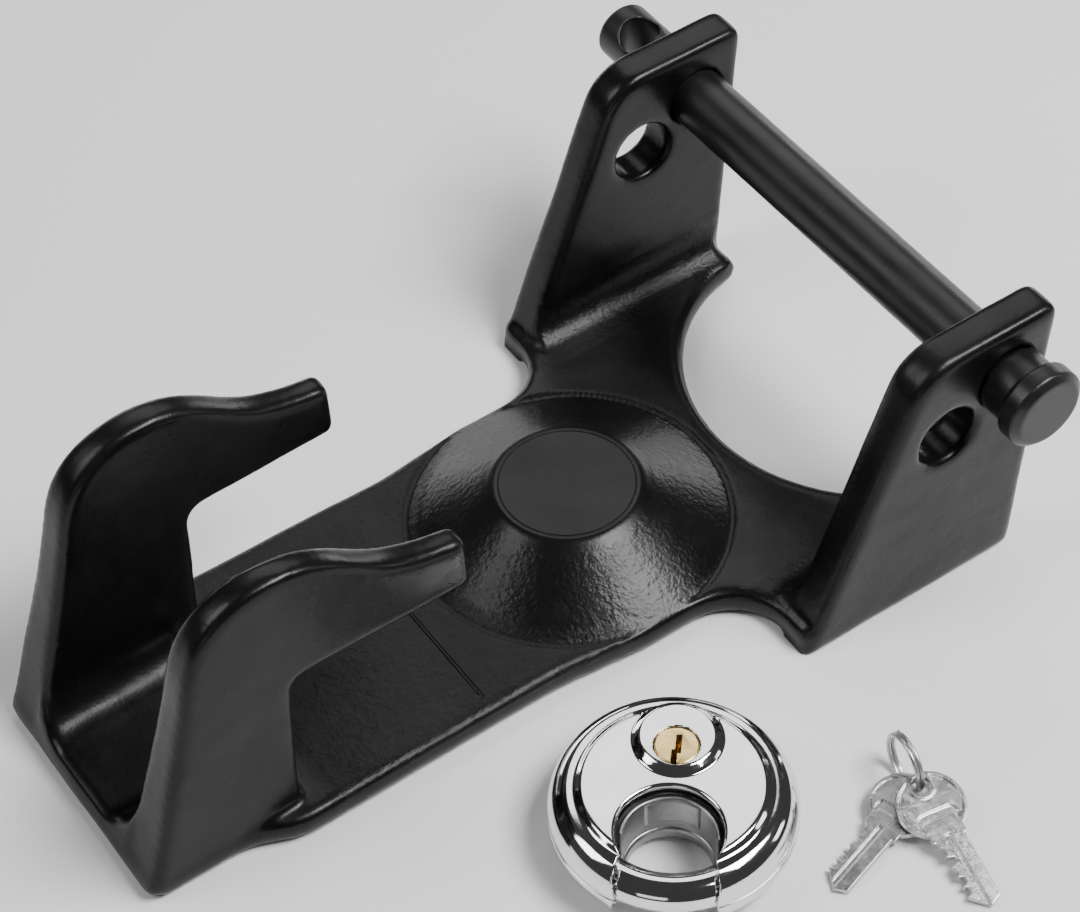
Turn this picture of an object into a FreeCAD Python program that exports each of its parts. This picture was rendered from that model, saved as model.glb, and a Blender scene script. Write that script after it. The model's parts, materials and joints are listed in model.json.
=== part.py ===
import FreeCAD, Part
import math
import os

# Trailer coupler lock: a forged hook bracket, its cross pin, a round padlock and two keys on a ring.
# Millimetres, +Z up, everything resting on the plane z = 0.  Lengths along the bracket are stated from
# the dome's axis; save() moves them so that the origin lies on the underside, DOME_X behind that axis.

V = FreeCAD.Vector
X, Y, Z = V(1, 0, 0), V(0, 1, 0), V(0, 0, 1)
DOME_X = 71.0

# ---- bracket: plate and channel, whose end leans back by END_SLOPE for each millimetre of height
PLATE_T = 8.0
CHANNEL_END_X, END_SLOPE = -146.1, 0.315
CHANNEL_HALF_W, CHANNEL_CORNER_R = 35.9, 4.4
PLATE_HALF_W = 41.2
WAIST_HALF_W = 43.0
EDGE_R = 2.4
BELOW_R = 3.2
TROUGH_R = 12.0

# ---- bracket: hooked arms, thickest low down at the channel's end
ARM_LEAN = 1.83
ARM_T, ARM_T_AT, ARM_TAPER_X, ARM_TAPER_Z = 13.25, (-137, 28), 0.0396, 0.057
NOTCH_X = {-1: -99.6, 1: -92.8}
HOOK_TIP_X = -50.1
HOOK_LOW_Z = 50.5
NOTCH_R = 4.0
CREST = [(-141.8, 12), (-137, 27.5), (-127.5, 60), (-121.5, 76.5), (-112, 84), (-100.5, 86),
         (-86, 81.8), (-71, 71.6), (-59, 67.2), (HOOK_TIP_X, 65.8)]

# ---- bracket: dome pressed up from below, its foot sunk a little under the plate's top
DOME_R = 42.0
DOME_TOP_R = 18.0
DOME_TOP_Z, DOME_FOOT_Z = 21.0, 7.2
DOME_SHOULDER_R = 4.0
DOME_WALL = 6.0

# ---- bracket: ears
EAR_OUT_Y, EAR_T = 68.2, 11.3
EAR_FRONT_X = 24.2
EAR_BACK_X = 90.7
EAR_TOP_X = 98.2
EAR_TOP_Z = 82.3
EAR_SLOPE = 0.4
EAR_CORNER_R = 14.0
EAR_ROOT_R = 9.0
CUTOUT_X, CUTOUT_R = 98.0, 49.5
HOLE_X, HOLE_Z, HOLE_R = 65.7, 55.8, 8.5

# ---- cross pin
PIN_X, PIN_Z = 83.4, 65.9
PIN_R = 8.0
PIN_PLAY = 0.06
PIN_END_Y = 92.0
PIN_COLLAR_R, PIN_COLLAR_L = 9.2, 8.2
PIN_HEAD_R, PIN_HEAD_L = 11.0, 6.4
PIN_HOLE_Y, PIN_HOLE_R, PIN_HOLE_TILT = 80.4, 5.5, 17.0

# ---- padlock, about its own axis, with h = 0 at its middle plane and the notch towards -Y
LOCK_AT, LOCK_TURN = V(-33.0, -90.5, 0), -40.5
LOCK_R = 30.0
LOCK_HALF_T = 10.0
SHELL_T = 1.3
FLAT_R = 21.3
NOTCH_Y, THROAT_R = -13.5, 12.8
PLUG_Y, PLUG_R = 9.9, 5.45
BOSS_Y, BOSS_R, BOSS_TOP_R, BOSS_H = 12.9, 11.3, 9.0, 1.6
SHACKLE_R, SHACKLE_ROD_R = 23.8, 4.6
SHACKLE_TIP, SHACKLE_TAIL = 304.0, 170.0
DRIVE_R, DRIVE_PIN_R = 5.75, 1.55
ARM_LOW, ARM_HIGH = -7.1, -4.9
CORE_LOW, CORE_HIGH = -2.0, 8.4
CORE_R = 18.6
STACK_TOP, POCKET_TOP = 6.3, 5.1
PIN_STACK_H = (5.1, 3.1, 1.1, -0.9)
KEY_PIN_L = (3.4, 2.6, 3.9, 3.0)
STACK_R = 0.85
SHEAR_Y = PLUG_Y + PLUG_R
SCREWS = ((15.5, -3.0), (-15.5, -3.0))

# ---- split ring standing upright, and each key's height at its hole and heading
RING_AT, RING_TURN = V(20.6, -111.2, 0), 80.0
RING_R, RING_WIRE_R, RING_LIFT = 7.2, 0.6, 0.1
KEYS = {"key_front": (5.9, -99.8), "key_rear": (2.6, -165.0)}
KEY_T, KEY_RIM = 1.9, 0.25
BOW_R, BOW_X, KEY_HOLE_R = 8.65, 5.2, 2.5
BLADE_X, BLADE_END_X, BLADE_HALF_W = 12.6, 33.8, 3.7
BITTING = (1.1, 2.3, 0.8, 1.9, 1.4)


def save(name, shape):
    piece = shape.copy()
    piece.translate(V(DOME_X, 0, 0))
    piece.exportStep("parts/" + name + ".step")


def cylinder(radius, low, high, at=(0, 0)):
    return Part.makeCylinder(radius, high - low, V(at[0], at[1], low))


def box(x0, x1, y0, y1, z0, z1):
    return Part.makeBox(x1 - x0, y1 - y0, z1 - z0, V(x0, y0, z0))


def rounded_outline(corners):
    """A closed wire through (point, radius) corners, each rounded by a tangent arc."""
    edges, ends = [], []
    for i, (p, radius) in enumerate(corners):
        before = (corners[i - 1][0] - p).normalize()
        after = (corners[(i + 1) % len(corners)][0] - p).normalize()
        if radius == 0:
            ends.append((p, None, p))
            continue
        half = before.getAngle(after) / 2
        reach = radius / math.tan(half)
        middle = (before + after).normalize() * (radius / math.sin(half) - radius)
        ends.append((p + before * reach, p + middle, p + after * reach))
    for i, (start, middle, end) in enumerate(ends):
        if middle is not None:
            edges.append(Part.Arc(start, middle, end).toShape())
        edges.append(Part.LineSegment(end, ends[(i + 1) % len(ends)][0]).toShape())
    return Part.Wire(edges)


def slab(corners, direction):
    return Part.Face(rounded_outline(corners)).extrude(direction)


def revolved(points, axis=Z, angle=360):
    """A solid turned from a closed section; a plain (r, z) point is a corner, and a
    pair of points is the middle and end of an arc."""
    edges, at = [], V(points[0][0], 0, points[0][1])
    for step in list(points[1:]) + [points[0]]:
        if isinstance(step[0], tuple):
            middle, end = [V(p[0], 0, p[1]) for p in step]
            edges.append(Part.Arc(at, middle, end).toShape())
        else:
            end = V(step[0], 0, step[1])
            edges.append(Part.LineSegment(at, end).toShape())
        at = end
    return Part.Face(Part.Wire(edges)).revolve(V(0, 0, 0), axis, angle)


def soften(shape, radius, wanted):
    edges = [e for e in shape.Edges if wanted(e)]
    return shape.makeFillet(radius, edges)


def level_edge(z):
    return lambda e: abs(e.BoundBox.ZMin - z) < 1e-4 and abs(e.BoundBox.ZMax - z) < 1e-4


# ------------------------------------------------------------------ bracket
def end_trim():
    """Everything beyond the channel's leaning end face."""
    def on_end(z):
        return V(CHANNEL_END_X + END_SLOPE * z, -60, z)
    corners = [on_end(-2), on_end(40), V(CHANNEL_END_X - 20, -60, 40), V(CHANNEL_END_X - 20, -60, -2)]
    return slab([(p, 0) for p in corners], Y * 120)


def plate():
    half = [(CHANNEL_END_X - 6, CHANNEL_HALF_W, 0), (-118, CHANNEL_HALF_W, 20), (-106, PLATE_HALF_W, 16),
            (-31, 40.2, 60), (-6, WAIST_HALF_W, 40), (EAR_FRONT_X + 0.4, WAIST_HALF_W, 16),
            (EAR_FRONT_X + 0.4, EAR_OUT_Y - 0.1, 4), (EAR_BACK_X, EAR_OUT_Y - 0.1, 4)]
    far = [(V(x, y, 0), r) for x, y, r in half]
    near = [(V(x, -y, 0), r) for x, y, r in reversed(half)]
    solid = slab(far + near, Z * PLATE_T).cut(end_trim())
    solid = solid.cut(cylinder(CUTOUT_R, -1, PLATE_T + 1, (CUTOUT_X, 0)))
    solid = soften(solid, CHANNEL_CORNER_R, lambda e: e.BoundBox.ZLength > 1 and e.BoundBox.XMax < -140)
    solid = soften(solid, BELOW_R, level_edge(0))
    return soften(solid, EDGE_R, level_edge(PLATE_T))


def arm_taper():
    """What the slanting inner face leaves off an arm drawn upright on its outer face."""
    def on_face(x, z):
        thick = ARM_T - ARM_TAPER_X * (x - ARM_T_AT[0]) - ARM_TAPER_Z * (z - ARM_T_AT[1])
        return V(x, -thick, z)
    corners = [on_face(x, z) for x, z in ((-160, -5), (-40, -5), (-40, 100), (-160, 100))]
    return slab([(p, 0) for p in corners], Y * -30)


def arm(side):
    """A hooked arm, drawn upright with its outer face at y = 0, then leaned and moved out."""
    notch_x = NOTCH_X[side]
    low = BELOW_R
    start, crest_end = V(CHANNEL_END_X + END_SLOPE * low, 0, low), V(HOOK_TIP_X, 0, CREST[-1][1])
    crest = Part.BSplineCurve()
    crest.interpolate([start] + [V(x, 0, z) for x, z in CREST])
    rest = [crest_end, V(HOOK_TIP_X, 0, HOOK_LOW_Z), V(notch_x, 0, HOOK_LOW_Z), V(notch_x - 3, 0, low), start]
    edges = [crest.toShape()] + [Part.LineSegment(a, b).toShape() for a, b in zip(rest, rest[1:])]
    solid = Part.Face(Part.Wire(edges)).extrude(Y * -20).cut(arm_taper())
    solid = soften(solid, NOTCH_R, lambda e: along_y(e) and e.BoundBox.XMax < HOOK_TIP_X - 1
                   and e.BoundBox.ZMin > low + 1)
    solid = soften(solid, EDGE_R, lambda e: along_y(e) and e.BoundBox.XMax > HOOK_TIP_X - 1)
    solid = soften(solid, EDGE_R, lambda e: not along_y(e) and e.BoundBox.ZMax > low + 1)
    solid.rotate(V(0, 0, 0), X, ARM_LEAN)
    solid.translate(V(0, CHANNEL_HALF_W, 0))
    return solid if side > 0 else solid.mirror(V(0, 0, 0), Y)


def along_y(edge):
    box_ = edge.BoundBox
    return box_.XLength < 1e-4 and box_.ZLength < 1e-4


def ear():
    """A leaning-fronted ear that reaches right down to z = 0 and forms the plate's outer corner."""
    corners = [(V(EAR_FRONT_X, 0, 0), 0), (V(EAR_FRONT_X + EAR_SLOPE * EAR_TOP_Z, 0, EAR_TOP_Z), EAR_CORNER_R),
               (V(EAR_TOP_X, 0, EAR_TOP_Z), 3), (V(EAR_BACK_X, 0, 0), 0)]
    solid = slab(corners, Y * EAR_T)
    solid = soften(solid, EDGE_R, lambda e: not along_y(e) and e.BoundBox.ZMax > EDGE_R + 1)
    solid.translate(V(0, EAR_OUT_Y - EAR_T, 0))
    return solid


def root_fillet(x0, x1, wall_y, radius):
    """The quarter round that fills the corner between the plate's top and a wall at +Y."""
    block = box(x0, x1, wall_y - radius, wall_y + 1, PLATE_T - 1, PLATE_T + radius)
    rod = Part.makeCylinder(radius, x1 - x0 + 2, V(x0 - 1, wall_y - radius, PLATE_T + radius), X)
    return block.cut(rod).cut(box(x0 - 1, x1 + 1, 0, wall_y - radius, 0, PLATE_T + radius))


def ear_fillet():
    """The rounded corner inside an ear, trimmed to the ear's leaning front."""
    corner = root_fillet(EAR_FRONT_X, EAR_BACK_X - EDGE_R, EAR_OUT_Y - EAR_T, EAR_ROOT_R)
    front = [V(EAR_FRONT_X - 9, 0, -1), V(EAR_FRONT_X + 0.6, 0, -1), V(EAR_FRONT_X + 0.6, 0, 0.6 / EAR_SLOPE),
             V(EAR_FRONT_X + 0.6 + EAR_SLOPE * 30, 0, 30), V(EAR_FRONT_X - 9, 0, 30)]
    return corner.cut(slab([(p, 0) for p in front], Y * 90))


def trough_fillet():
    """The channel's inner corner, which follows the arm's taper and is eased at the open end."""
    wall_y = CHANNEL_HALF_W - ARM_T - ARM_TAPER_Z * 8 - 0.65
    corner = root_fillet(CHANNEL_END_X - 4, NOTCH_X[-1] - 4, wall_y, TROUGH_R)
    corner.rotate(V(ARM_T_AT[0], wall_y, 0), Z, math.degrees(math.atan(ARM_TAPER_X)))
    corner = corner.cut(end_trim())
    return soften(corner, EDGE_R, lambda e: e.Curve.TypeId != "Part::GeomLine" and e.BoundBox.XMax < -130)


def dome(drop, inset):
    """A straight cone with a rounded shoulder and a flat top, lowered and drawn in by a wall's thickness."""
    top, top_r = DOME_TOP_Z - drop, DOME_TOP_R - inset * 0.7
    foot, foot_r = DOME_FOOT_Z - drop, DOME_R - inset
    run, fall = foot_r - top_r, top - DOME_SHOULDER_R - foot
    slope = math.atan2(fall, run) + math.asin(DOME_SHOULDER_R / math.hypot(run, fall))

    def shoulder(angle):
        return (top_r + DOME_SHOULDER_R * math.sin(angle), top - DOME_SHOULDER_R * (1 - math.cos(angle)))
    return revolved([(0, foot - 4), (foot_r, foot - 4), (foot_r, foot), shoulder(slope),
                     (shoulder(slope / 2), (top_r, top)), (0, top)])


def bracket():
    mirrored = [ear(), trough_fillet(), ear_fillet()]
    pieces = [arm(-1), arm(1)] + mirrored + [p.mirror(V(0, 0, 0), Y) for p in mirrored]
    keep = box(-DOME_R, DOME_R, -PLATE_HALF_W - 0.5, PLATE_HALF_W + 0.5, 4, 60)
    solid = plate().cut(cylinder(DOME_R, DOME_FOOT_Z, 20)).fuse(pieces + [dome(0, 0).common(keep)])
    solid = solid.cut(dome(DOME_WALL + 1.2, DOME_WALL))
    for x, z, radius in ((HOLE_X, HOLE_Z, HOLE_R), (PIN_X, PIN_Z, PIN_R + PIN_PLAY)):
        solid = solid.cut(Part.makeCylinder(radius, 160, V(x, -80, z), Y))
    return solid.removeSplitter()


def locking_pin():
    """A headed pin along Y, turned about its axis, with a tilted cross hole for the padlock."""
    head_y = -EAR_OUT_Y - 0.2
    collar_y = head_y - PIN_COLLAR_L
    face_y = collar_y - PIN_HEAD_L
    body = revolved([(0, face_y), (PIN_HEAD_R - 2, face_y), (PIN_HEAD_R, face_y + 1.6), (PIN_HEAD_R, collar_y),
                     (PIN_COLLAR_R, collar_y), (PIN_COLLAR_R, head_y), (PIN_R, head_y),
                     (PIN_R, PIN_END_Y - 1.2), (PIN_R - 1.2, PIN_END_Y), (0, PIN_END_Y)])
    body.rotate(V(0, 0, 0), X, -90)
    body.translate(V(PIN_X, 0, PIN_Z))
    hole = Part.makeCylinder(PIN_HOLE_R, 40, V(PIN_X, PIN_HOLE_Y, PIN_Z - 20), Z)
    hole.rotate(V(PIN_X, PIN_HOLE_Y, PIN_Z), Y, -PIN_HOLE_TILT)
    return body.cut(hole)


# ------------------------------------------------------------------ padlock
def place_lock(shape):
    """From the padlock's own frame to where it lies."""
    shape.translate(V(0, 0, LOCK_HALF_T))
    shape.rotate(V(0, 0, 0), Z, LOCK_TURN)
    shape.translate(LOCK_AT)
    return shape


def throat(radius, half_w):
    """The notch's space: a round arch that runs out through the rim."""
    round_part = cylinder(radius, -20, 20, (0, NOTCH_Y))
    low = NOTCH_Y - radius * 0.47
    way_out = slab([(V(-half_w, low, -20), 0), (V(half_w, low, -20), 0),
                    (V(half_w + 1.2, -LOCK_R - 2, -20), 0), (V(-half_w - 1.2, -LOCK_R - 2, -20), 0)], Z * 40)
    return round_part.fuse(way_out)


def dished_disc(inset):
    """Half of the padlock's outer form above its middle plane, inset by a wall's thickness."""
    r, flat, top = LOCK_R - inset, FLAT_R - inset * 0.3, LOCK_HALF_T - inset
    return revolved([(0, 0), (r, 0), ((r - 1.6, top * 0.55), (flat + 1.7, top - 1.0)), (flat, top), (0, top)])


def shell():
    return dished_disc(0).cut(dished_disc(SHELL_T)).cut(throat(THROAT_R, 11.2))


def front_shell():
    """The stamped front, with a raised boss around the plug."""
    boss = revolved([(0, 0), (BOSS_R, 0), (BOSS_TOP_R, BOSS_H), (0, BOSS_H)])
    boss.translate(V(0, BOSS_Y, LOCK_HALF_T - 0.01))
    body = shell().fuse(boss).cut(cylinder(PLUG_R + 0.05, 0, 20, (0, PLUG_Y)))
    return body.removeSplitter()


def rear_shell():
    back = shell()
    back.rotate(V(0, 0, 0), Y, 180)
    return back


def notch_liner():
    """The bent strip that lines the notch, ending short of the shackle's path."""
    band = cylinder(THROAT_R - 0.1, -7.6, 7.6, (0, NOTCH_Y)).cut(cylinder(THROAT_R - 1.2, -8, 8, (0, NOTCH_Y)))
    return band.cut(box(-20, 20, -40, NOTCH_Y + 0.4, -9, 9))


def sector(inner, outer, start, end, low, high):
    """Part of a ring between two angles about the padlock's axis."""
    ring = revolved([(inner, low), (outer, low), (outer, high), (inner, high)], Z, end - start)
    ring.rotate(V(0, 0, 0), Z, start)
    return ring


def shackle():
    """A round bar bent on a circle, with the drive arm and its slot under the hidden end."""
    bar = Part.makeTorus(SHACKLE_R, SHACKLE_ROD_R, V(0, 0, 0), Z, 0, 360, SHACKLE_TIP - SHACKLE_TAIL)
    bar.rotate(V(0, 0, 0), Z, SHACKLE_TAIL)
    drive = math.degrees(math.atan2(PLUG_Y, -DRIVE_R))
    link = sector(19.4, 23.4, drive - 6, SHACKLE_TAIL + 5, ARM_LOW, ARM_HIGH)
    foot = sector(19.4, 23.4, SHACKLE_TAIL, SHACKLE_TAIL + 8, ARM_LOW, -2)
    lever = box(7.6, 21.6, -4.4, 4.4, ARM_LOW, ARM_HIGH)
    near, far = math.hypot(DRIVE_R, PLUG_Y), PLUG_Y + DRIVE_R
    half = DRIVE_PIN_R + 0.6
    slot = box(near, far, -half, half, -9, 0).fuse(
        [cylinder(half, -9, 0, (near, 0)), cylinder(half, -9, 0, (far, 0))])
    lever = lever.cut(slot)
    lever.rotate(V(0, 0, 0), Z, drive)
    slot.rotate(V(0, 0, 0), Z, drive)
    return bar.fuse([link.cut(slot), foot, lever]).removeSplitter()


def core_outline(radius, play):
    """The round and radial wall that hold the lock cylinder, grown by a play."""
    barrel = cylinder(radius + play, CORE_LOW - play, CORE_HIGH, (0, PLUG_Y))
    stack = box(-2.7 - play, 2.7 + play, PLUG_Y, 24.4 + play, CORE_LOW - play, STACK_TOP)
    return barrel.fuse(stack)


def chassis():
    """The cast block inside the shackle's circle, with posts for the back plate."""
    block = cylinder(CORE_R, CORE_LOW, CORE_HIGH)
    block = block.fuse(box(-4.4, 4.4, PLUG_Y, 25.6, CORE_LOW, POCKET_TOP))
    posts = [cylinder(2.6, ARM_LOW - 0.3, CORE_LOW + 1, at) for at in SCREWS]
    block = block.fuse(posts).cut(throat(THROAT_R + 0.1, 11.3)).cut(core_outline(7.6, 0.02))
    for at in SCREWS:
        block = block.cut(cylinder(1.27, -10, 2.0, at))
    return block.removeSplitter()


def back_plate():
    low, high = -LOCK_HALF_T + SHELL_T + 0.1, ARM_LOW - 0.3
    disc = cylinder(20, low, high).cut(throat(THROAT_R + 0.1, 11.3))
    for at in SCREWS:
        disc = disc.cut(cylinder(1.35, -12, 0, at)).cut(cylinder(2.3, low - 1, low + 0.75, at))
    return disc


def chassis_screws():
    low = -LOCK_HALF_T + SHELL_T + 0.12
    return Part.makeCompound([cylinder(2.2, low, low + 0.7, at).fuse(cylinder(1.25, low, 1.8, at))
                              for at in SCREWS])


def stack_pin(radius, y0, y1, h):
    return Part.makeCylinder(radius, y1 - y0, V(0, y0, h), Y)


def cylinder_body():
    body = core_outline(7.6, 0).cut(cylinder(PLUG_R + 0.04, -20, 20, (0, PLUG_Y)))
    for h in PIN_STACK_H:
        body = body.cut(stack_pin(STACK_R + 0.08, PLUG_Y, 23.3, h))
    return body.cut(box(-1.9, 1.9, 23.3, 25, CORE_LOW - 1, STACK_TOP + 1))


def chamber_cap():
    """The brass strip that closes the pin chambers."""
    return box(-1.88, 1.88, 23.32, 24.4, CORE_LOW, STACK_TOP)


def keyway():
    low, high = CORE_LOW + 0.8, LOCK_HALF_T + BOSS_H + 1
    lower = box(-1.15, 0.3, PLUG_Y - 6, PLUG_Y - 1.4, low, high)
    upper = box(-0.3, 1.15, PLUG_Y - 1.9, PLUG_Y + 3.2, low, high)
    step = box(-1.15, 1.15, PLUG_Y - 2.3, PLUG_Y - 1.2, low, high)
    return lower.fuse([upper, step])


def cylinder_plug():
    """The turning plug: keyway, radial pin holes and the tail that carries the cam."""
    plug = cylinder(PLUG_R, CORE_LOW, LOCK_HALF_T + BOSS_H - 0.1, (0, PLUG_Y))
    plug = soften(plug, 0.5, lambda e: e.BoundBox.ZMin > 5 and e.BoundBox.ZLength < 0.01)
    tail = cylinder(2.6, -4.6, CORE_LOW + 0.1, (0, PLUG_Y)).cut(
        cylinder(3, -4.2, -3.8, (0, PLUG_Y)).cut(cylinder(2.2, -5, -3, (0, PLUG_Y))))
    plug = plug.fuse(tail).cut(keyway())
    for h in PIN_STACK_H:
        plug = plug.cut(stack_pin(STACK_R + 0.05, PLUG_Y + 1.2, SHEAR_Y + 1, h))
    return plug


def key_pins():
    """Pins at the shear line, as the right key sets them; each has its own length."""
    top = SHEAR_Y - 0.1
    return Part.makeCompound([stack_pin(STACK_R, top - length, top, h)
                              for h, length in zip(PIN_STACK_H, KEY_PIN_L)])


def driver_pins():
    return Part.makeCompound([stack_pin(STACK_R, SHEAR_Y + 0.1, SHEAR_Y + 3.4, h) for h in PIN_STACK_H])


def pin_springs():
    """One fine coil spring behind each driver pin."""
    coil_r, wire_r, low, length = 0.6, 0.13, SHEAR_Y + 3.6, 4.0
    helix = Part.makeHelix(length / 4, length, coil_r)
    ring = Part.Wire(Part.Circle(V(coil_r, 0, 0), Y, wire_r).toShape())
    spring = Part.Wire(helix.Edges).makePipeShell([ring], True, True)
    spring.rotate(V(0, 0, 0), X, -90)
    springs = []
    for h in PIN_STACK_H:
        one = spring.copy()
        one.translate(V(0, low, h))
        springs.append(one)
    return Part.makeCompound(springs)


def drive_cam():
    """The disc on the plug's tail, bored off centre for the drive pin, with a recess for the clip."""
    disc = cylinder(8.4, -4.6, -2.1, (0, PLUG_Y)).cut(cylinder(2.6, -5, 0, (0, PLUG_Y)))
    disc = disc.cut(cylinder(4.4, -5, -3.75, (0, PLUG_Y)))
    return disc.cut(cylinder(DRIVE_PIN_R, -5, 0, (-DRIVE_R, PLUG_Y)))


def drive_pin():
    return cylinder(DRIVE_PIN_R, ARM_LOW + 0.1, -2.1, (-DRIVE_R, PLUG_Y))


def cam_clip():
    """A snap ring in the tail's groove, open on one side."""
    ring = cylinder(4.1, -4.15, -3.85, (0, PLUG_Y)).cut(cylinder(2.25, -5, -3, (0, PLUG_Y)))
    return ring.cut(box(-1.3, 1.3, PLUG_Y - 6, PLUG_Y, -5, -3))


# ------------------------------------------------------------------ keys
def key():
    """A key lying flat with its hole at the origin and its blade along +X, cuts on the -Y edge."""
    bow = cylinder(BOW_R, 0, KEY_T, (BOW_X, 0))
    field = cylinder(BOW_R - 1.0, KEY_T - KEY_RIM, KEY_T + 1, (BOW_X, 0))
    field = field.cut(cylinder(KEY_HOLE_R + 0.9, 0, KEY_T + 1))
    pocket = slab([(V(BOW_X + x, y, KEY_T - 0.6), 1.9) for x, y in ((1.7, -5.2), (5.9, -5.2), (5.9, 5.2),
                                                                    (1.7, 5.2))], Z * 2)
    bow = bow.cut(field).cut(field.mirror(V(0, 0, KEY_T / 2), Z))
    bow = bow.cut(pocket).cut(pocket.mirror(V(0, 0, KEY_T / 2), Z))
    w, end = BLADE_HALF_W, BLADE_END_X
    pitch = (end - 4 - BLADE_X - 3.5) / len(BITTING)
    edge = []
    for i, depth in enumerate(BITTING):
        x = BLADE_X + 3.5 + i * pitch
        edge += [V(x, -w, 0), V(x + pitch * 0.3, -w + depth, 0), V(x + pitch * 0.7, -w + depth, 0)]
    outline = [V(BLADE_X - 3, -w, 0)] + edge + [V(end - 4, -w, 0), V(end, 0.6, 0), V(end - 1.6, w, 0),
                                                V(BLADE_X - 3, w, 0)]
    blade = slab([(p, 0) for p in outline], Z * KEY_T)
    shoulder = box(BLADE_X - 2, BLADE_X + 2.2, -w - 0.9, w + 0.9, 0, KEY_T)
    grooves = [box(BLADE_X + 1, end + 1, -0.9, 0.5, KEY_T - 0.6, KEY_T + 1),
               box(BLADE_X + 1, end + 1, 0.9, 2.3, -1, 0.6)]
    whole = bow.fuse([blade, shoulder]).cut(cylinder(KEY_HOLE_R, -1, KEY_T + 1))
    for groove in grooves:
        whole = whole.cut(groove)
    return whole.removeSplitter()


def laid_key(name):
    """A key with its hole where the ring's wire passes at that height, and its tip let down to z = 0."""
    lift, heading = KEYS[name]
    below = RING_LIFT + RING_WIRE_R + RING_R - (lift + KEY_T / 2)
    reach = math.sqrt(RING_R ** 2 - below ** 2)
    turn = math.radians(RING_TURN)
    hole = RING_AT - V(math.cos(turn), math.sin(turn), 0) * reach
    piece = key()
    piece.rotate(V(0, 0, 0), Y, math.degrees(math.asin(lift / BLADE_END_X)))
    piece.rotate(V(0, 0, 0), Z, heading)
    piece.translate(hole + Z * lift)
    return piece


def key_ring():
    """A split ring of two turns side by side, upright, threaded through both bows."""
    side = RING_WIRE_R * 0.98
    turns = [Part.makeTorus(RING_R, RING_WIRE_R, V(0, 0, offset), Z) for offset in (-side, side)]
    ring = turns[0].fuse(turns[1])
    ring.rotate(V(0, 0, 0), X, 90)
    ring.rotate(V(0, 0, 0), Z, RING_TURN)
    ring.translate(RING_AT + Z * (RING_R + RING_WIRE_R + RING_LIFT))
    return ring


LOCK_PIECES = {
    "front_shell": front_shell, "rear_shell": rear_shell, "notch_liner": notch_liner, "shackle": shackle,
    "chassis": chassis, "back_plate": back_plate, "chassis_screws": chassis_screws,
    "cylinder_body": cylinder_body, "chamber_cap": chamber_cap, "cylinder_plug": cylinder_plug,
    "key_pins": key_pins, "driver_pins": driver_pins, "pin_springs": pin_springs, "drive_cam": drive_cam,
    "drive_pin": drive_pin, "cam_clip": cam_clip}

os.makedirs("parts", exist_ok=True)
save("coupler_bracket", bracket())
save("locking_pin", locking_pin())
for piece_name, make in LOCK_PIECES.items():
    save(piece_name, place_lock(make()))
for key_name in KEYS:
    save(key_name, laid_key(key_name))
save("key_ring", key_ring())
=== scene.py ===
import json
import math

import bmesh
import bpy
import numpy as np
from mathutils import Matrix, Vector, noise


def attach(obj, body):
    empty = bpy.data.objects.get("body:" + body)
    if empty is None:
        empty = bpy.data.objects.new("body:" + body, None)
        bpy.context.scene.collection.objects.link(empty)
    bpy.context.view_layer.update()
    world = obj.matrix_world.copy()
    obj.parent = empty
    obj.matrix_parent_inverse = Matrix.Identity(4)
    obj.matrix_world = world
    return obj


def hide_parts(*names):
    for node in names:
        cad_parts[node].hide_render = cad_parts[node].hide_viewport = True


# Trailer coupler lock: a forged black bracket and its cross pin, a polished round padlock, two keys.
# Everything is in metres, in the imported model's frame. Lengths below named in millimetres use MM.

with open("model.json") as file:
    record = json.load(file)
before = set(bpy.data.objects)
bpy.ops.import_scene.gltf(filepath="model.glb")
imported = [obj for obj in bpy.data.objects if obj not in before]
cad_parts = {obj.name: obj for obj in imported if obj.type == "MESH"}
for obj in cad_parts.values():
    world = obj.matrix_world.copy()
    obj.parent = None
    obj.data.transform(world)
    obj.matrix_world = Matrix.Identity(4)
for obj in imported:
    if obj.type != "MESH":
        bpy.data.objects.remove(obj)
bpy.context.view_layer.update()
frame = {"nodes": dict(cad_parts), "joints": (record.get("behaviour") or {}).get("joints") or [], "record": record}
MM = 0.001
joints = {j["name"]: j for j in frame["joints"]}

# ------------------------------------------------------------------ camera, floor and lights
CAMERA_AT = Vector((-0.211, -0.4283, 0.6093))
CAMERA_AZIMUTH, CAMERA_ELEVATION, CAMERA_ROLL = -32.63, 48.41, -2.76
CAMERA_LENS, CAMERA_SENSOR = 102.4, 36.0
DOME_X = 0.071
FLOOR_REACH, WORLD_LIGHT, PANEL_AIM = 4, 0.05, (0.07, 0.0, 0.015)

# Each soft box: name, direction from the dome, distance, width and height, radiance.
PANELS = [("key", (0.35, -0.40, 0.85), 1.15, (0.55, 0.45), 24.0),
          ("left", (-0.62, 0.30, 0.72), 1.25, (0.45, 0.60), 6.0),
          ("sky", (0.37, 0.57, 0.75), 1.5, (0.95, 0.75), 2.2),
          ("back", (0.12, 1.0, 0.10), 1.5, (1.0, 0.24), 4.5),
          ("back_right", (0.90, 0.42, 0.16), 1.5, (0.7, 0.26), 5.0),
          ("front", (-0.75, -0.60, 0.28), 1.6, (0.6, 0.4), 1.2),
          ("right", (0.80, -0.50, 0.36), 1.5, (0.35, 0.35), 3.0)]


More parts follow.
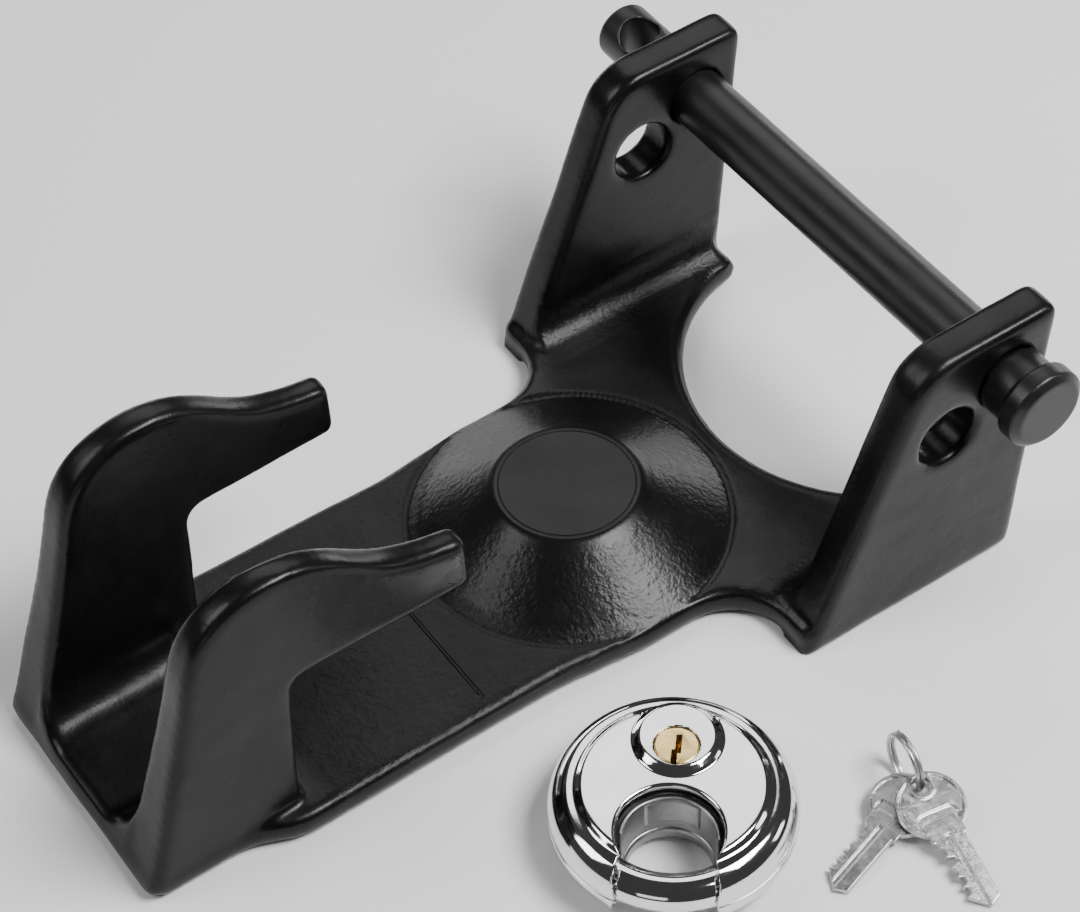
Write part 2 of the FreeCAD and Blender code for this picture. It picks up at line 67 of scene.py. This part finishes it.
def add_camera():
    az, el, roll = [math.radians(a) for a in (CAMERA_AZIMUTH, CAMERA_ELEVATION, CAMERA_ROLL)]
    back = Vector((math.sin(az) * math.cos(el), -math.cos(az) * math.cos(el), math.sin(el)))
    level = Vector((0, 0, 1)).cross(back).normalized()
    up = back.cross(level)
    right = math.cos(roll) * level + math.sin(roll) * up
    top = math.cos(roll) * up - math.sin(roll) * level
    data = bpy.data.cameras.new("camera")
    data.lens, data.sensor_width, data.sensor_fit = CAMERA_LENS, CAMERA_SENSOR, "HORIZONTAL"
    data.clip_start, data.clip_end = 0.01, 20
    camera = bpy.data.objects.new("camera", data)
    camera.matrix_world = Matrix.Translation(CAMERA_AT) @ Matrix((right, top, back)).transposed().to_4x4()
    bpy.context.scene.collection.objects.link(camera)
    bpy.context.scene.camera = camera


def add_panel(name, direction, distance, size, radiance):
    """A soft box seen from the dome in a given direction, as bright as its radiance."""
    middle = Vector(PANEL_AIM)
    data = bpy.data.lights.new(name, "AREA")
    data.shape, data.size, data.size_y = "RECTANGLE", size[0], size[1]
    data.energy = radiance * math.pi * size[0] * size[1]
    light = bpy.data.objects.new(name, data)
    light.location = middle + Vector(direction).normalized() * distance
    light.rotation_euler = (middle - light.location).to_track_quat("-Z", "Y").to_euler()
    bpy.context.scene.collection.objects.link(light)


def add_studio():
    world = bpy.data.worlds.new("studio")
    world.use_nodes = True
    world.node_tree.nodes["Background"].inputs["Color"].default_value = (1, 1, 1, 1)
    world.node_tree.nodes["Background"].inputs["Strength"].default_value = WORLD_LIGHT
    bpy.context.scene.world = world
    for panel in PANELS:
        add_panel(*panel)
    corners = [(x * FLOOR_REACH, y * FLOOR_REACH, 0) for x, y in ((-1, -1), (1, -1), (1, 1), (-1, 1))]
    floor = mesh_object("floor", corners, [(0, 1, 2, 3)])
    floor.data.materials.append(floor_paper())


# ------------------------------------------------------------------ meshes
def mesh_object(name, verts, faces, smooth=False):
    mesh = bpy.data.meshes.new(name)
    mesh.from_pydata([tuple(v) for v in verts], [], [tuple(f) for f in faces])
    mesh.validate()
    if smooth:
        mesh.shade_smooth()
    piece = bpy.data.objects.new(name, mesh)
    bpy.context.scene.collection.objects.link(piece)
    return piece


def applied(piece):
    """The piece with its modifiers baked into its mesh."""
    bpy.context.view_layer.update()
    graph = bpy.context.evaluated_depsgraph_get()
    mesh = bpy.data.meshes.new_from_object(piece.evaluated_get(graph))
    piece.modifiers.clear()
    piece.data = mesh
    return piece


def resurfaced(node, name, voxel, passes):
    """A soft-edged skin over a CAD node: an even remesh, then a few passes of smoothing."""
    piece = bpy.data.objects.new(name, frame["nodes"][node].data.copy())
    bpy.context.scene.collection.objects.link(piece)
    remesh = piece.modifiers.new("even", "REMESH")
    remesh.mode, remesh.voxel_size, remesh.use_smooth_shade = "VOXEL", voxel, True
    smooth = piece.modifiers.new("soft", "SMOOTH")
    smooth.factor, smooth.iterations = 0.5, passes
    applied(piece).data.materials.clear()
    return piece


def crisp(node, name, width):
    """A CAD node's mesh with its flats cleaned up and every sharp edge eased by a narrow bevel."""
    mesh = frame["nodes"][node].data.copy()
    clean = bmesh.new()
    clean.from_mesh(mesh)
    bmesh.ops.remove_doubles(clean, verts=clean.verts, dist=0.002 * MM)
    bmesh.ops.dissolve_limit(clean, angle_limit=math.radians(1), verts=clean.verts, edges=clean.edges)
    clean.to_mesh(mesh)
    clean.free()
    mesh.shade_smooth()
    piece = bpy.data.objects.new(name, mesh)
    bpy.context.scene.collection.objects.link(piece)
    bevel = piece.modifiers.new("ease", "BEVEL")
    bevel.width, bevel.segments, bevel.limit_method, bevel.angle_limit = width, 3, "ANGLE", math.radians(28)
    bevel.harden_normals = True
    applied(piece).data.materials.clear()
    return piece


def coords(mesh):
    flat = np.empty(len(mesh.vertices) * 3)
    mesh.vertices.foreach_get("co", flat)
    return flat.reshape(-1, 3)


def normals(mesh):
    flat = np.empty(len(mesh.vertices) * 3)
    mesh.vertices.foreach_get("normal", flat)
    return flat.reshape(-1, 3)


def set_coords(mesh, points):
    mesh.vertices.foreach_set("co", np.ascontiguousarray(points).ravel())
    mesh.update()


def step(low, high, value):
    """0 below low, 1 above high, smooth between."""
    t = np.clip((value - low) / (high - low), 0, 1)
    return t * t * (3 - 2 * t)


def ripple(points, scale, seed):
    """Smooth noise from -1 to 1 at each point, with features about scale metres wide."""
    shift = Vector((seed * 3.7, seed * 1.3, seed * 2.1))
    return np.array([noise.noise(Vector(p) / scale + shift) for p in points])


def finish_piece(piece, material, body, slot, *nodes):
    piece.data.materials.clear()
    piece.data.materials.append(material)
    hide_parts(*nodes)
    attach(piece, body)
    return piece


# ------------------------------------------------------------------ materials
class Shader:
    """A small helper that wires one Principled material."""

    def __init__(self, name, **sockets):
        self.material = bpy.data.materials.new(name)
        self.material.use_nodes = True
        self.tree = self.material.node_tree
        self.main = self.tree.nodes["Principled BSDF"]
        self.place = self.add("ShaderNodeTexCoord").outputs["Object"]
        self.height = None
        for socket, value in sockets.items():
            self.main.inputs[socket.replace("_", " ")].default_value = value

    def add(self, kind, **settings):
        node = self.tree.nodes.new(kind)
        for key, value in settings.items():
            setattr(node, key, value)
        return node

    def link(self, a, b):
        self.tree.links.new(a, b)

    def noise(self, size, detail=2.0, stretch=None, rough=0.5):
        node = self.add("ShaderNodeTexNoise")
        node.inputs["Scale"].default_value = 1.0 / size
        node.inputs["Detail"].default_value = detail
        node.inputs["Roughness"].default_value = rough
        place = self.place
        if stretch:
            mapping = self.add("ShaderNodeMapping")
            mapping.inputs["Scale"].default_value = stretch
            self.link(place, mapping.inputs["Vector"])
            place = mapping.outputs["Vector"]
        self.link(place, node.inputs["Vector"])
        return node.outputs["Fac"]

    def remap(self, value, low, high, from_low=0.3, from_high=0.7):
        node = self.add("ShaderNodeMapRange")
        limits = {"From Min": from_low, "From Max": from_high, "To Min": low, "To Max": high}
        for socket, number in limits.items():
            node.inputs[socket].default_value = number
        self.link(value, node.inputs["Value"])
        return node.outputs["Result"]

    def math(self, operation, a, b):
        node = self.add("ShaderNodeMath", operation=operation)
        for socket, value in zip(node.inputs, (a, b)):
            if isinstance(value, (int, float)):
                socket.default_value = value
            else:
                self.link(value, socket)
        return node.outputs["Value"]

    def colour(self, fac, low, high):
        node = self.add("ShaderNodeMix", data_type="RGBA")
        node.inputs[6].default_value = (*low, 1)
        node.inputs[7].default_value = (*high, 1)
        self.link(fac, node.inputs["Factor"])
        self.link(node.outputs[2], self.main.inputs["Base Color"])

    def away(self, x, y):
        """Distance across the ground from the upright axis through x, y."""
        flat = self.add("ShaderNodeVectorMath", operation="MULTIPLY")
        flat.inputs[1].default_value = (1, 1, 0)
        self.link(self.place, flat.inputs[0])
        gap = self.add("ShaderNodeVectorMath", operation="DISTANCE")
        gap.inputs[1].default_value = (x, y, 0)
        self.link(flat.outputs["Vector"], gap.inputs[0])
        return gap.outputs["Value"]

    def along(self, axis):
        split = self.add("ShaderNodeSeparateXYZ")
        self.link(self.place, split.inputs["Vector"])
        return split.outputs[axis]

    def band(self, value, low, high, soft):
        """1 between low and high, fading to 0 over soft on either side."""
        rise = self.remap(value, 0, 1, low - soft, low)
        fall = self.remap(value, 1, 0, high, high + soft)
        return self.math("MULTIPLY", rise, fall)

    def roughness(self, value):
        self.link(value, self.main.inputs["Roughness"])

    def bump(self, value, depth, strength=1.0):
        node = self.add("ShaderNodeBump")
        node.inputs["Distance"].default_value = depth
        node.inputs["Strength"].default_value = strength
        self.link(value, node.inputs["Height"])
        if self.height is not None:
            self.link(self.height, node.inputs["Normal"])
        self.height = node.outputs["Normal"]
        self.link(self.height, self.main.inputs["Normal"])


def floor_paper():
    s = Shader("floor_paper", Roughness=0.9, Specular_IOR_Level=0.1)
    s.colour(s.noise(0.4), (0.86, 0.86, 0.86), (0.9, 0.9, 0.9))
    return s.material


def powder_coat():
    """Satin black powder coat: fine orange peel over a forging, heaviest on the dome's cone."""
    s = Shader("powder_coat", Specular_IOR_Level=0.24)
    s.colour(s.remap(s.noise(0.012, 4), 0, 1), (0.003, 0.003, 0.0032), (0.0065, 0.0065, 0.0068))
    s.roughness(s.remap(s.noise(0.02, 5, rough=0.6), 0.22, 0.34))
    s.bump(s.noise(0.0035, 3), 0.00006)
    s.bump(s.noise(0.0009, 2), 0.00003)
    from_axis, x, y, z = s.away(DOME_X, 0), s.along("X"), s.along("Y"), s.along("Z")
    on_top = s.band(z, 0.0066, 0.0088, 0.001)
    peel = s.math("MULTIPLY", s.noise(0.0013, 1.5), s.band(from_axis, 0.0225, 0.0410, 0.0015))
    s.bump(peel, 0.00013)
    s.bump(s.band(from_axis, 0.0178, 0.0182, 0.0004), -0.00010)
    scale = s.math("MULTIPLY", s.noise(0.0024, 5, rough=0.7), s.band(x, -0.022, 0.060, 0.004))
    s.bump(s.math("MULTIPLY", scale, on_top), 0.00028)
    ridge = s.math("MULTIPLY", s.band(x, 0.0204, 0.0208, 0.0004), s.band(y, -0.034, -0.002, 0.002))
    s.bump(s.math("MULTIPLY", ridge, on_top), 0.0004)
    near_ear = s.band(s.math("ABSOLUTE", y, 0), 0.047, 0.0585, 0.002)
    root = s.math("MULTIPLY", s.band(z, 0.009, 0.019, 0.003), near_ear)
    s.bump(s.math("MULTIPLY", s.noise(0.0016, 4, rough=0.65), root), 0.00025)
    return s.material


def pin_coat():
    """Smoother satin black on a turned pin, with faint turning marks under it."""
    s = Shader("pin_coat", Specular_IOR_Level=0.4)
    s.colour(s.remap(s.noise(0.01, 4), 0, 1), (0.006, 0.006, 0.0063), (0.011, 0.011, 0.0115))
    s.roughness(s.remap(s.noise(0.015, 5), 0.30, 0.42))
    s.bump(s.noise(0.002, 2, stretch=(0.25, 4, 0.25)), 0.00002)
    s.bump(s.noise(0.0008, 2), 0.00002)
    return s.material


def chrome(name):
    s = Shader(name, Metallic=1.0)
    s.colour(s.remap(s.noise(0.01, 3), 0, 1), (0.76, 0.76, 0.77), (0.84, 0.84, 0.845))
    s.roughness(s.remap(s.noise(0.006, 5, rough=0.7), 0.04, 0.10))
    s.bump(s.noise(0.0009, 4, stretch=(1, 6, 1)), 0.000004)
    return s.material


def liner_steel():
    """The notch's strip, duller and darker than the polished shells."""
    s = Shader("liner_steel", Metallic=1.0)
    s.colour(s.remap(s.noise(0.004, 4), 0, 1), (0.26, 0.26, 0.265), (0.36, 0.36, 0.365))
    s.roughness(s.remap(s.noise(0.002, 5), 0.26, 0.40))
    s.bump(s.noise(0.0006, 3, stretch=(1, 1, 5)), 0.000008)
    return s.material


def plain_steel():
    s = Shader("plain_steel", Metallic=1.0)
    s.colour(s.remap(s.noise(0.003, 4), 0, 1), (0.50, 0.50, 0.51), (0.62, 0.62, 0.63))
    s.roughness(s.remap(s.noise(0.002, 5), 0.22, 0.4))
    s.bump(s.noise(0.0005, 3, stretch=(1, 5, 1)), 0.00001)
    return s.material


def nickel():
    """Tumbled nickel plate with fine handling scratches."""
    s = Shader("nickel", Metallic=1.0)
    s.colour(s.remap(s.noise(0.004, 4), 0, 1), (0.42, 0.415, 0.41), (0.60, 0.595, 0.585))
    s.roughness(s.remap(s.noise(0.0015, 5, rough=0.7), 0.16, 0.30))
    s.bump(s.noise(0.0006, 4, stretch=(1, 5, 1)), 0.000006)
    return s.material


def brass():
    s = Shader("brass", Metallic=1.0)
    s.colour(s.remap(s.noise(0.002, 4), 0, 1), (0.84, 0.60, 0.22), (0.93, 0.72, 0.33))
    s.roughness(s.remap(s.noise(0.001, 5), 0.18, 0.34))
    s.bump(s.noise(0.0004, 3), 0.00001)
    return s.material


def cast_core():
    s = Shader("cast_core", Metallic=0.9)
    s.colour(s.remap(s.noise(0.004, 5), 0, 1), (0.36, 0.36, 0.37), (0.5, 0.5, 0.51))
    s.roughness(s.remap(s.noise(0.002, 5), 0.45, 0.65))
    s.bump(s.noise(0.0007, 4), 0.00004)
    return s.material


# ------------------------------------------------------------------ bracket
# In metres: the dome's heights and radii, then how the skin is remeshed, snapped and roughened.
DOME_TOP, DOME_FOOT, DOME_TOP_R, DOME_R, SHOULDER_R, PLATE_TOP = [v * MM for v in (21, 7.2, 18, 42, 4, 8)]
LIP_W, SNAP_MARGIN, SNAP_REACH, SNAP_HALF_W = [v * MM for v in (0.9, 1.2, 1.5, 40.6)]
BRACKET_VOXEL, BRACKET_PASSES = 1.05 * MM, 6
UNEVEN = [(22 * MM, 0.22 * MM, 3), (7 * MM, 0.07 * MM, 5)]
PIN_VOXEL, PIN_PASSES = 0.45 * MM, 4


def dome_height(away):
    """The dome's outer height, and the plate's small lip round its foot, at a distance from its axis."""
    run, fall = DOME_R - DOME_TOP_R, DOME_TOP - SHOULDER_R - DOME_FOOT
    slope = math.atan2(fall, run) + math.asin(SHOULDER_R / math.hypot(run, fall))
    cone = DOME_FOOT + (DOME_R - away) * math.tan(slope)
    turn = np.clip((away - DOME_TOP_R) / SHOULDER_R, 0, math.sin(slope))
    shoulder = DOME_TOP - SHOULDER_R * (1 - np.sqrt(1 - turn ** 2))
    lip = PLATE_TOP - (PLATE_TOP - DOME_FOOT) * (1 - step(DOME_R, DOME_R + LIP_W, away))
    dome = np.where(away < DOME_TOP_R + SHOULDER_R * math.sin(slope), shoulder, cone)
    return np.where(away < DOME_R, dome, lip)


def bracket():
    """The forging: crisp at the dome, soft and slightly uneven elsewhere."""
    piece = resurfaced("coupler_bracket", "bracket_skin", BRACKET_VOXEL, BRACKET_PASSES)
    points, facing = coords(piece.data), normals(piece.data)
    away = np.hypot(points[:, 0] - DOME_X, points[:, 1])
    target = dome_height(away)
    on_dome = (away < DOME_R + SNAP_MARGIN) & (facing[:, 2] > 0.5)
    on_dome &= (np.abs(points[:, 2] - target) < SNAP_REACH) & (np.abs(points[:, 1]) < SNAP_HALF_W)
    uneven = sum(ripple(points, size, seed) * depth for size, depth, seed in UNEVEN)
    points = points + facing * np.where(on_dome, 0, uneven)[:, None]
    points[:, 2] = np.where(on_dome, target, points[:, 2])
    set_coords(piece.data, points)
    finish_piece(piece, powder_coat(), "bracket", "black_coat", "coupler_bracket")


def cross_pin():
    piece = resurfaced("locking_pin", "pin_skin", PIN_VOXEL, PIN_PASSES)
    finish_piece(piece, pin_coat(), "pin", "pin_coat", "locking_pin")


# ------------------------------------------------------------------ padlock
# The padlock's own frame, in millimetres: its axis upright, h = 0 at its middle plane, notch towards -y.
LOCK_AT, LOCK_TURN = (38.0, -90.5, 10.0), math.radians(-40.5)
WALL, FACE_H = 1.2, 10.0
EDGE_ROLL, SKIRT_DROPS, ROW_CROWDING = 0.9, (2.4, 1.8, 1.2, 0.6), 1.3
NOTCH_Y, NOTCH_R, NOTCH_CORNER = -13.5, 12.8, (11.2, -19.5)
HORN_TIP = (12.3, -27.4)
PLUG_Y, PLUG_HOLE_R = 9.9, 5.65
BOSS_Y, BOSS_R, BOSS_TOP_R, BOSS_H = 12.9, 11.3, 9.0, 1.6
SECTION = [(0, 10), (20.6, 10), (21.9, 9.95), (22.6, 9.4), (23.4, 8.75), (24.6, 8.62), (25.7, 8.45),
           (27.5, 7.3), (29.0, 5.2), (29.9, 2.6), (30.0, 0.7), (29.6, 0.05)]
SHACKLE_R, SHACKLE_ROD_R, SHACKLE_FROM, SHACKLE_TO = 23.8, 4.6, 170.0, 304.0
END_EASE, BAR_TOLERANCE = (0.72, 0.9, 1.0), 0.03 * MM


def in_place(points):
    """From the padlock's own millimetres to the model's metres."""
    x, y, h = np.asarray(points, float).T
    c, s = math.cos(LOCK_TURN), math.sin(LOCK_TURN)
    return np.stack([(LOCK_AT[0] + x * c - y * s), (LOCK_AT[1] + x * s + y * c), LOCK_AT[2] + h], 1) * MM


def rounded(corners, times):
    """A polyline with its inner corners cut again and again until they are round."""
    line = np.array(corners, float)
    for _ in range(times):
        ahead = line[1:]
        cut = np.empty((2 * len(ahead), 2))
        cut[0::2] = line[:-1] * 0.75 + ahead * 0.25
        cut[1::2] = line[:-1] * 0.25 + ahead * 0.75
        line = np.vstack([line[:1], cut[1:-1], line[-1:]])
    return line


def ramp(x, soft=0.08):
    """0 to 1 in a straight slope with eased ends."""
    return (np.sqrt(x ** 2 + soft ** 2) - np.sqrt((1 - x) ** 2 + soft ** 2) + 1) / 2


def grid_faces(rows, columns, closed=False):
    faces = []
    for i in range(rows - 1):
        for j in range(columns if closed else columns - 1):
            k = (j + 1) % columns
            faces.append((i * columns + j, i * columns + k, (i + 1) * columns + k, (i + 1) * columns + j))
    return faces


def shell_points(rows, columns, boss):
    """A C-shaped sheet from the notch's edge to the rim, laid out on the unrolled section."""
    section = rounded(SECTION, 3)
    length = np.concatenate([[0], np.cumsum(np.hypot(*np.diff(section, axis=0).T))])
    spread = np.linspace(0, 1, columns)
    corner = math.atan2(NOTCH_CORNER[1] - NOTCH_Y, -NOTCH_CORNER[0]) % (2 * math.pi)
    swing = corner + (math.pi - 2 * corner) * spread
    inner = np.stack([NOTCH_R * np.cos(swing), NOTCH_Y + NOTCH_R * np.sin(swing)], 1)
    reach = np.hypot(*inner.T)
    inner *= (np.interp(reach, section[:, 0], length) / reach)[:, None]
    tip = math.atan2(HORN_TIP[1], -HORN_TIP[0]) % (2 * math.pi)
    around = tip + (math.pi - 2 * tip) * spread
    outer = length[-1] * np.stack([np.cos(around), np.sin(around)], 1)
    apart = np.hypot(*(outer - inner).T)
    points = []
    for drop in SKIRT_DROPS:
        points.append(np.column_stack([inner, np.full(columns, -drop - EDGE_ROLL)]))
    for t in np.linspace(0, 1, rows - len(SKIRT_DROPS)) ** ROW_CROWDING:
        edge = np.clip(1 - t * apart / EDGE_ROLL, 0, 1)
        rolled = -EDGE_ROLL * (1 - np.sqrt(1 - edge ** 2))
        points.append(np.column_stack([inner + (outer - inner) * t, rolled]))
    flat = np.vstack(points)
    u = np.hypot(flat[:, 0], flat[:, 1])
    r, h = np.interp(u, length, section[:, 0]), np.interp(u, length, section[:, 1])
    x, y = flat[:, 0] / u * r, flat[:, 1] / u * r
    h = h + flat[:, 2]
    if boss:
        lift = ramp((BOSS_R - np.hypot(x, y - BOSS_Y)) / (BOSS_R - BOSS_TOP_R))
        raised = np.maximum(h, FACE_H) + BOSS_H * lift
        h = h + (raised - h) * step(0.0, 0.35, lift) * (flat[:, 2] > -0.5)
    return np.column_stack([x, y, h])


def shell(name, rows, columns, boss, material):
    points = shell_points(rows, columns, boss)
    faces = grid_faces(rows, columns)
    if boss:
        rho = np.hypot(points[:, 0], points[:, 1] - PLUG_Y)
        inside = rho < PLUG_HOLE_R
        faces = [f for f in faces if not all(inside[list(f)])]
        pull = PLUG_HOLE_R / np.maximum(rho, 0.01)
        points[inside, 0] *= pull[inside]
        points[inside, 1] = PLUG_Y + (points[inside, 1] - PLUG_Y) * pull[inside]
    else:
        points[:, 2] *= -1
        faces = [f[::-1] for f in faces]
    piece = mesh_object(name + "_skin", in_place(points), faces, smooth=True)
    tidy = bmesh.new()
    tidy.from_mesh(piece.data)
    bmesh.ops.delete(tidy, geom=[v for v in tidy.verts if not v.link_faces], context="VERTS")
    tidy.to_mesh(piece.data)
    tidy.free()
    solid = piece.modifiers.new("sheet", "SOLIDIFY")
    solid.thickness, solid.offset = WALL * MM, -1
    applied(piece)
    finish_piece(piece, material, "padlock", "polished_shell", name)


LINER_R, LINER_MID_R, LINER_HALF_H, LINER_T = 11.75, 11.6, 7.4, 0.75
PANEL_HALF_W, PANEL_TOP, PANEL_FOOT, PANEL_RISE = 7.2, 7.0, -1.5, 0.45
LEDGE_TOP, LEDGE_RISE = -4.6, 0.6


def notch_liner(material):
    """The bent strip in the notch, with a raised panel at its middle and a ledge below."""
    rows, columns = 70, 200
    angle = np.radians(np.linspace(2, 178, columns))
    height = np.linspace(LINER_HALF_H, -LINER_HALF_H, rows)
    a, h = np.meshgrid(angle, height)
    across = (a - math.pi / 2) * LINER_MID_R
    panel = ramp((PANEL_HALF_W - np.abs(across)) / 0.5)
    panel = panel * ramp((PANEL_TOP - h) / 0.4) * ramp((h - PANEL_FOOT) / 0.5)
    ledge = ramp((LEDGE_TOP - h) / 0.4)
    r = LINER_R - PANEL_RISE * panel - LEDGE_RISE * ledge
    points = np.column_stack([(r * np.cos(a)).ravel(), (NOTCH_Y + r * np.sin(a)).ravel(), h.ravel()])
    faces = [f[::-1] for f in grid_faces(rows, columns)]
    piece = mesh_object("liner_skin", in_place(points), faces, smooth=True)
    solid = piece.modifiers.new("sheet", "SOLIDIFY")
    solid.thickness, solid.offset = LINER_T * MM, -1
    applied(piece)
    finish_piece(piece, material, "padlock", "polished_steel", "notch_liner")


def shackle(material):
    """The bent bar as an exact round tube with eased ends, carrying the drive arm's plates."""
    turns, sides = 150, 56
    sweep = np.radians(np.linspace(SHACKLE_FROM, SHACKLE_TO, turns))
    ease = np.array(END_EASE)
    size = np.ones(turns)
    size[:3], size[-3:] = ease, ease[::-1]
    points = []
    for a, grow in zip(sweep, size * SHACKLE_ROD_R):
        b = np.linspace(0, 2 * math.pi, sides, endpoint=False)
        r = SHACKLE_R + grow * np.cos(b)
        points += list(zip(r * math.cos(a), r * math.sin(a), grow * np.sin(b)))
    faces = [f[::-1] for f in grid_faces(turns, sides, closed=True)]
    last = (turns - 1) * sides
    faces += [tuple(range(sides)), tuple(reversed(range(last, last + sides)))]
    piece = mesh_object("shackle_skin", in_place(points), faces, smooth=True)
    arm = bmesh.new()
    arm.from_mesh(frame["nodes"]["shackle"].data)
    axis = Vector(joints["shackle_swing"]["pos_m"])
    bar = []
    for face in arm.faces:
        gaps = [math.hypot((v.co - axis).xy.length - SHACKLE_R * MM, v.co.z - axis.z) for v in face.verts]
        if all(abs(gap - SHACKLE_ROD_R * MM) < BAR_TOLERANCE for gap in gaps):
            bar.append(face)
    bmesh.ops.delete(arm, geom=bar, context="FACES")
    arm.from_mesh(piece.data)
    arm.to_mesh(piece.data)
    arm.free()
    finish_piece(piece, material, "shackle", "polished_steel", "shackle")


# ------------------------------------------------------------------ keys and ring
RING_AT, RING_TURN, RING_R, WIRE_R = (91.6, -111.2, 7.9), math.radians(80.0), 7.2, 0.6
WIRE_START, END_SPRING, WIRE_FLAT = 0.6, 0.5, 0.97
KEY_VOXEL, KEY_PASSES, PLUG_EASE = 0.12, 2, 0.12


def key_ring(material):
    """Two close turns of one wire, its cut ends sprung slightly apart."""
    steps, sides = 300, 20
    travel = np.linspace(0, 4 * math.pi, steps)
    crossover = step(1.80 * math.pi, 2.20 * math.pi, travel)
    first_end = step(0, 0.25 * math.pi, 0.25 * math.pi - travel)
    last_end = step(3.75 * math.pi, 4 * math.pi, travel)
    side = WIRE_R * (2 * crossover - 1) + END_SPRING * (last_end - first_end)
    c, s = math.cos(RING_TURN), math.sin(RING_TURN)
    points = []
    for a, off in zip(travel + WIRE_START, side):
        for b in np.linspace(0, 2 * math.pi, sides, endpoint=False):
            r, w = RING_R + WIRE_R * math.cos(b), off + WIRE_R * WIRE_FLAT * math.sin(b)
            x, z = r * math.cos(a), r * math.sin(a)
            place = (RING_AT[0] + x * c + w * s, RING_AT[1] + x * s - w * c, RING_AT[2] + z)
            points.append(tuple(v * MM for v in place))
    last = (steps - 1) * sides
    faces = grid_faces(steps, sides, closed=True)
    faces += [tuple(reversed(range(sides))), tuple(range(last, last + sides))]
    piece = mesh_object("ring_skin", points, faces, smooth=True)
    finish_piece(piece, material, "key_ring", "plain_steel", "key_ring")


def remade(node, voxel, passes, material, body, slot):
    """A node's softened remesh, with the voxel size in millimetres."""
    piece = resurfaced(node, node + "_skin", voxel * MM, passes)
    finish_piece(piece, material, body, slot, node)


def eased(node, width, material, body, slot):
    """A node's own mesh with its edges eased by a width in millimetres."""
    finish_piece(crisp(node, node + "_skin", width * MM), material, body, slot, node)


add_camera()
add_studio()
bracket()
cross_pin()

SLOT_MATERIALS = {"polished_shell": chrome("polished_shell"), "polished_steel": chrome("polished_steel"),
                  "plain_steel": plain_steel(), "nickel_key": nickel(), "brass": brass(),
                  "cast_core": cast_core()}
for part in frame["record"]["subparts"]:
    if part["material_slot"] in SLOT_MATERIALS:
        target = frame["nodes"][part["node"]]
        target.data.materials.clear()
        target.data.materials.append(SLOT_MATERIALS[part["material_slot"]])

shell("front_shell", 114, 360, True, SLOT_MATERIALS["polished_shell"])
shell("rear_shell", 64, 220, False, SLOT_MATERIALS["polished_shell"])
notch_liner(liner_steel())
shackle(SLOT_MATERIALS["polished_steel"])
eased("cylinder_plug", PLUG_EASE, SLOT_MATERIALS["brass"], "plug", "brass")
for key in ("key_front", "key_rear"):
    remade(key, KEY_VOXEL, KEY_PASSES, SLOT_MATERIALS["nickel_key"], key, "nickel_key")
key_ring(SLOT_MATERIALS["plain_steel"])
